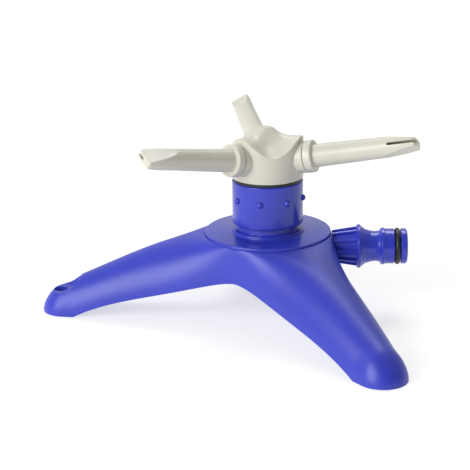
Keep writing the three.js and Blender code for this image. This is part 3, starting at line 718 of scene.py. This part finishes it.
def along_arm(sizes, k, slot_turn=0.0):
    """Matrices that lay a part built up Z from the crossing along an arm."""
    azimuth = sizes.arm_rest * 180 / pi + 120 * k
    tilt = sizes.arm_tilt * 180 / pi
    return shift(z=ARMS_MEET), turn_z(azimuth), turn_y(90 - tilt), turn_z(slot_turn)


class SPRINKLER_OT_hub(bpy.types.Operator):
    """Moulds the lobed hub with the three bosses that hold the arms"""

    bl_idname = "sprinkler.hub"
    bl_label = "Rotor hub"

    def execute(self, context):
        sizes = getattr(context.scene, SIZES)
        boss = rounded([(0, 9), (7, 9), (7, 18.5, 0.35), (0, 18.5)])
        socket = [
            (0, 5.5), (2.8, 5.5), (2.8, 9.7), (4.9, 9.7), (4.9, 10.9), (5.4, 11.2), (5.4, 12.8), (4.9, 13.1),
            (4.9, 19.5), (0, 19.5),
        ]
        bore = [(0, 61.6), (8.5, 61.6), (8.5, 66.3), (6.4, 66.3), (6.4, 72.2), (4.4, 74.2), (0, 74.2)]
        rest = sizes.arm_rest * 180 / pi
        blank = built("hub", moved(hub_blank(sizes), shift(z=ARMS_MEET), turn_z(rest)))
        piece = carved(blank, [
            ("UNION", *[moved(lathe(boss, 96), *along_arm(sizes, k)) for k in range(3)]),
            ("DIFFERENCE", lathe(bore)),
            ("DIFFERENCE", *[moved(lathe(socket, 64), *along_arm(sizes, k)) for k in range(3)]),
        ])
        finished(piece, finish_of("grey_satin"), "rotor", "grey_plastic", "rotor_hub", crease=30)
        return {"FINISHED"}


class SPRINKLER_OT_arms(bpy.types.Operator):
    """Turns the three nozzle arms, flattens their ends to wedges and cuts the slots"""

    bl_idname = "sprinkler.arms"
    bl_label = "Nozzle arms"

    def execute(self, context):
        sizes = getattr(context.scene, SIZES)
        reach, root, tip = sizes.arm_reach / MM, sizes.arm_root / MM, sizes.arm_tip / MM
        wedge, slot = reach - sizes.wedge_length / MM, sizes.slot_width / MM / 2
        outside = rounded([
            (0, 10.1), (4.2, 10.1), (4.6, 10.7), (4.6, 11.4), (5, 11.8), (5, 12.2), (4.6, 12.6), (4.6, 14),
            (3.4, 14), (3.4, 16), (4.6, 16), (4.6, 18.8), (7.15, 18.8, 0.3), (7.15, 22.4, 0.6), (root, 22.4, 0.4),
            (tip, wedge), (tip, reach, TIP_ROUNDING), (0, reach),
        ])
        slope = (WEDGE_HALF_THICKNESS - tip) / (reach - wedge)
        past = 5  # the cutter runs on beyond the tip
        thin = WEDGE_HALF_THICKNESS + past * slope
        flat = [(tip, wedge), (12, wedge), (12, reach + past), (thin, reach + past)]
        bore = [(0, 9.1), (2.6, 9.1), (2.6, 55), (1.4, 62.5), (0, 62.5)]
        a = np.linspace(pi, 2 * pi, 9)
        start = reach - sizes.slot_length / MM + slot
        gap = np.concatenate([np.stack([slot * np.cos(a), start + slot * np.sin(a)], -1),
                              [(slot, reach + 1), (-slot, reach + 1)]])
        for k in range(3):
            at = along_arm(sizes, k, SLOT_TURN)
            piece = carved(built(f"arm_{k + 1}", moved(lathe(outside, 128), *at)), [
                ("DIFFERENCE", moved(prism(flat, -10, 10), *at)),
                ("DIFFERENCE", moved(prism(flat, -10, 10), *at, turn_z(180))),
                ("DIFFERENCE", moved(lathe(bore, 40), *at)),
                ("DIFFERENCE", moved(prism(gap, 0, 7), *at)),
            ])
            body, replaced = f"arm_{k + 1}", f"nozzle_arm_{k + 1}"
            finished(piece, finish_of("grey_satin"), body, "grey_plastic", replaced, crease=25)
        return {"FINISHED"}


class SPRINKLER_OT_inner_parts(bpy.types.Operator):
    """Gives the spindle, its washers and the inner seals their materials"""

    bl_idname = "sprinkler.inner_parts"
    bl_label = "Spindle and seals"

    def execute(self, context):
        rubber = ("spindle_seal", "inlet_washer", "arm_o_ring_1", "arm_o_ring_2", "arm_o_ring_3")
        slots = {"white_acetal": ("spindle", "thrust_washer"), "black_rubber": rubber}
        for slot, names in slots.items():
            for name in names:
                for place in frame["nodes"][name].material_slots:
                    place.link = "OBJECT"
                    place.material = finish_of(slot)
        return {"FINISHED"}


# ---- stage ----

FLOOR_HALF, FLOOR_DROP, FLOOR_GLOW = 6.0, 0.0001, 0.64
LIGHTS_AIM = 0.045  # height that the lights look at, metres
CAMERA_PLACE = (6.363, -590.869, 226.066)  # from the spindle axis at the ground, millimetres
CAMERA_DOWN, CAMERA_LEFT, CAMERA_ROLL = 17.9215, 2.0686, -0.8324  # degrees
CAMERA_LENS, CAMERA_SENSOR, CAMERA_SHIFT = 105.86, 36, (0.00085106, 0.00106383)


def softbox(name, direction, distance, size, power):
    """An area light that looks at the hub from a direction (azimuth, elevation)."""
    azimuth, elevation = (radians(v) for v in direction)
    back = np.array([cos(azimuth) * cos(elevation), sin(azimuth) * cos(elevation), sin(elevation)])
    light = bpy.data.lights.new(name, "AREA")
    light.shape = "RECTANGLE"
    light.size, light.size_y = size
    light.energy = power
    lamp = bpy.data.objects.new(name, light)
    target = np.array([AXIS_X * MM, AXIS_Y * MM, LIGHTS_AIM])
    lamp.location = target + back * distance
    lamp.rotation_euler = Euler((pi / 2 - elevation, 0, azimuth + pi / 2))
    bpy.context.scene.collection.objects.link(lamp)
    return lamp


class SPRINKLER_OT_stage(bpy.types.Operator):
    """Sets the pale floor, the soft lights and the camera"""

    bl_idname = "sprinkler.stage"
    bl_label = "Stage"

    def execute(self, context):
        scene = context.scene
        scene.view_settings.view_transform = "Standard"
        side = np.linspace(-FLOOR_HALF, FLOOR_HALF, 3)
        x, y = np.meshgrid(side, side, indexing="ij")
        points, faces = grid(np.stack([x, y, 0 * x - FLOOR_DROP], -1))
        mesh = bpy.data.meshes.new("floor")
        mesh.from_pydata(points, [], faces)
        floor = bpy.data.objects.new("floor", mesh)
        scene.collection.objects.link(floor)
        # Painted board, matt: pale, faintly uneven from the roller. Its own glow keeps the shadows light.
        settings = {"Roughness": 0.9, "Specular IOR Level": 0.2}
        made, tree, shader, place = new_material("board_white_painted", settings)
        drift = node(tree, "ShaderNodeTexNoise", {"Scale": grains(60), "Detail": 1.0}, Vector=place)
        tone = node(tree, "ShaderNodeValToRGB", Fac=drift.outputs["Fac"])
        tone.color_ramp.elements[0].color = colour("#aeaead")
        tone.color_ramp.elements[1].color = colour("#b1b1b0")
        tree.links.new(tone.outputs["Color"], shader.inputs["Base Color"])
        shader.inputs["Emission Color"].default_value = colour("#ffffff")
        shader.inputs["Emission Strength"].default_value = FLOOR_GLOW
        mesh.materials.append(made)
        world = bpy.data.worlds.new("studio")
        world.use_nodes = True
        tree = world.node_tree
        # The room is bright towards +Y and darker overhead and behind the viewer.
        around = node(tree, "ShaderNodeTexCoord").outputs["Generated"]
        way = node(tree, "ShaderNodeSeparateXYZ", Vector=around)
        limits = {"From Min": -0.4, "From Max": 0.8, "To Min": 0.16, "To Max": 0.76}
        glow = node(tree, "ShaderNodeMapRange", limits, Value=way.outputs["Y"])
        tree.nodes["Background"].inputs["Color"].default_value = (1.0, 1.0, 0.995, 1.0)
        tree.links.new(glow.outputs["Result"], tree.nodes["Background"].inputs["Strength"])
        scene.world = world
        softbox("key", (-136, 24), 1.3, (0.9, 0.85), 17)
        softbox("overhead", (80, 58), 1.3, (0.7, 0.55), 7)
        camera = bpy.data.cameras.new("camera")
        camera.lens, camera.sensor_width = CAMERA_LENS, CAMERA_SENSOR
        camera.shift_x, camera.shift_y = CAMERA_SHIFT
        camera.clip_start, camera.clip_end = 0.05, 50
        eye = bpy.data.objects.new("camera", camera)
        aim = Euler((radians(90 - CAMERA_DOWN), 0, radians(CAMERA_LEFT))).to_matrix().to_4x4()
        right, back, up = CAMERA_PLACE
        place = shift((AXIS_X + right) * MM, (AXIS_Y + back) * MM, up * MM)
        eye.matrix_world = place @ aim @ turn_z(CAMERA_ROLL)
        scene.collection.objects.link(eye)
        scene.camera = eye
        return {"FINISHED"}


# ---- settings, panel and registration ----


def length(name, description, default):
    return bpy.props.FloatProperty(
        name=name, description=description, default=default, min=0.0, unit="LENGTH"
    )


def tint(name, description, code):
    return bpy.props.FloatVectorProperty(
        name=name, description=description, default=colour(code), size=4, min=0, max=1, subtype="COLOR"
    )


class SprinklerSizes(bpy.types.PropertyGroup):
    foot_reach: length("Foot reach", "Spindle axis to the middle of a foot", 92.3 * MM)
    foot_radius: length("Foot radius", "Radius of a foot's round end", 10.74 * MM)
    disc_radius: length("Disc radius", "Radius of the disc on the base", width("waterway_body") / 2)
    port_radius: length("Port radius", "Opening in the base round the inlet", 7.7 * MM)
    peg_hole: length("Peg hole", "Diameter of the hole in one foot", 6.2 * MM)
    inlet_height: length("Inlet height", "Ground to the middle of the hose connector", 29.7 * MM)
    nose_radius: length("Nose radius", "Radius of the hose connector's nose", 7.95 * MM)
    nose_end: length("Nose end", "Spindle axis to the end of the nose", 62.2 * MM)
    collar_radius: length("Collar radius", "Radius of the collar nut", 15.8 * MM)
    nub_radius: length("Nub radius", "Radius of a grip nub on the collar", 1.45 * MM)
    hub_radius: length("Hub radius", "Radius of the rotor hub", 15.9 * MM)
    arm_reach: length("Arm reach", "Crossing of the arm axes to a nozzle's tip", 68.55 * MM)
    arm_root: length("Arm root", "Radius of an arm beside its ring", 5.12 * MM)
    arm_tip: length("Arm tip", "Radius of an arm near its tip", 4.58 * MM)
    wedge_length: length("Wedge length", "Length of the flats at an arm's tip", 15.7 * MM)
    slot_width: length("Slot width", "Width of the water slot", 1.2 * MM)
    slot_length: length("Slot length", "Length of the water slot", 12.6 * MM)
    arm_tilt: bpy.props.FloatProperty(
        name="Arm tilt", description="Angle of the arms above level", default=radians(11), unit="ROTATION"
    )
    arm_rest: bpy.props.FloatProperty(
        name="Arm rest", description="Azimuth of the first arm at rest",
        default=radians(101.6), unit="ROTATION",
    )


class SprinklerColours(bpy.types.PropertyGroup):
    blue: tint("Blue", "Base, collar and connector", "#303bb4")
    blue_deep: tint("Deep blue", "Where the blue plastic cooled last", "#2c37aa")
    grey: tint("Grey", "Hub and arms", "#c9c7ba")
    grey_deep: tint("Deep grey", "Where the grey plastic cooled last", "#c4c2b4")
    # This black also paints the shade of the gap between hub and collar, through the washer there.
    rubber: tint("Rubber", "Seals and the washer", "#0d0d10")
    acetal: tint("Acetal", "Spindle and thrust washer", "#e6e3d8")
    steel: tint("Steel", "Screws under the base", "#b4b8bc")


OPERATORS = (
    SPRINKLER_OT_stage,
    SPRINKLER_OT_base,
    SPRINKLER_OT_waterway,
    SPRINKLER_OT_screws,
    SPRINKLER_OT_connector,
    SPRINKLER_OT_collar,
    SPRINKLER_OT_hub,
    SPRINKLER_OT_arms,
    SPRINKLER_OT_inner_parts,
)


class SPRINKLER_PT_panel(bpy.types.Panel):
    bl_idname = "SPRINKLER_PT_panel"
    bl_label = "Lawn sprinkler"
    bl_space_type = "VIEW_3D"
    bl_region_type = "UI"
    bl_category = "Sprinkler"

    def draw(self, context):
        for group in (getattr(context.scene, SIZES), getattr(context.scene, COLOURS)):
            for name in group.bl_rna.properties.keys():
                if name not in ("rna_type", "name"):
                    self.layout.prop(group, name)
        for operator in OPERATORS:
            self.layout.operator(operator.bl_idname)


CLASSES = (SprinklerSizes, SprinklerColours, *OPERATORS, SPRINKLER_PT_panel)


def register():
    for cls in CLASSES:
        bpy.utils.register_class(cls)
    setattr(bpy.types.Scene, SIZES, bpy.props.PointerProperty(type=SprinklerSizes))
    setattr(bpy.types.Scene, COLOURS, bpy.props.PointerProperty(type=SprinklerColours))


def unregister():
    delattr(bpy.types.Scene, COLOURS)
    delattr(bpy.types.Scene, SIZES)
    for cls in reversed(CLASSES):
        bpy.utils.unregister_class(cls)


def main():
    register()
    for operator in OPERATORS:
        group, name = operator.bl_idname.split(".")
        getattr(getattr(bpy.ops, group), name)()


if __name__ == "__main__":
    main()
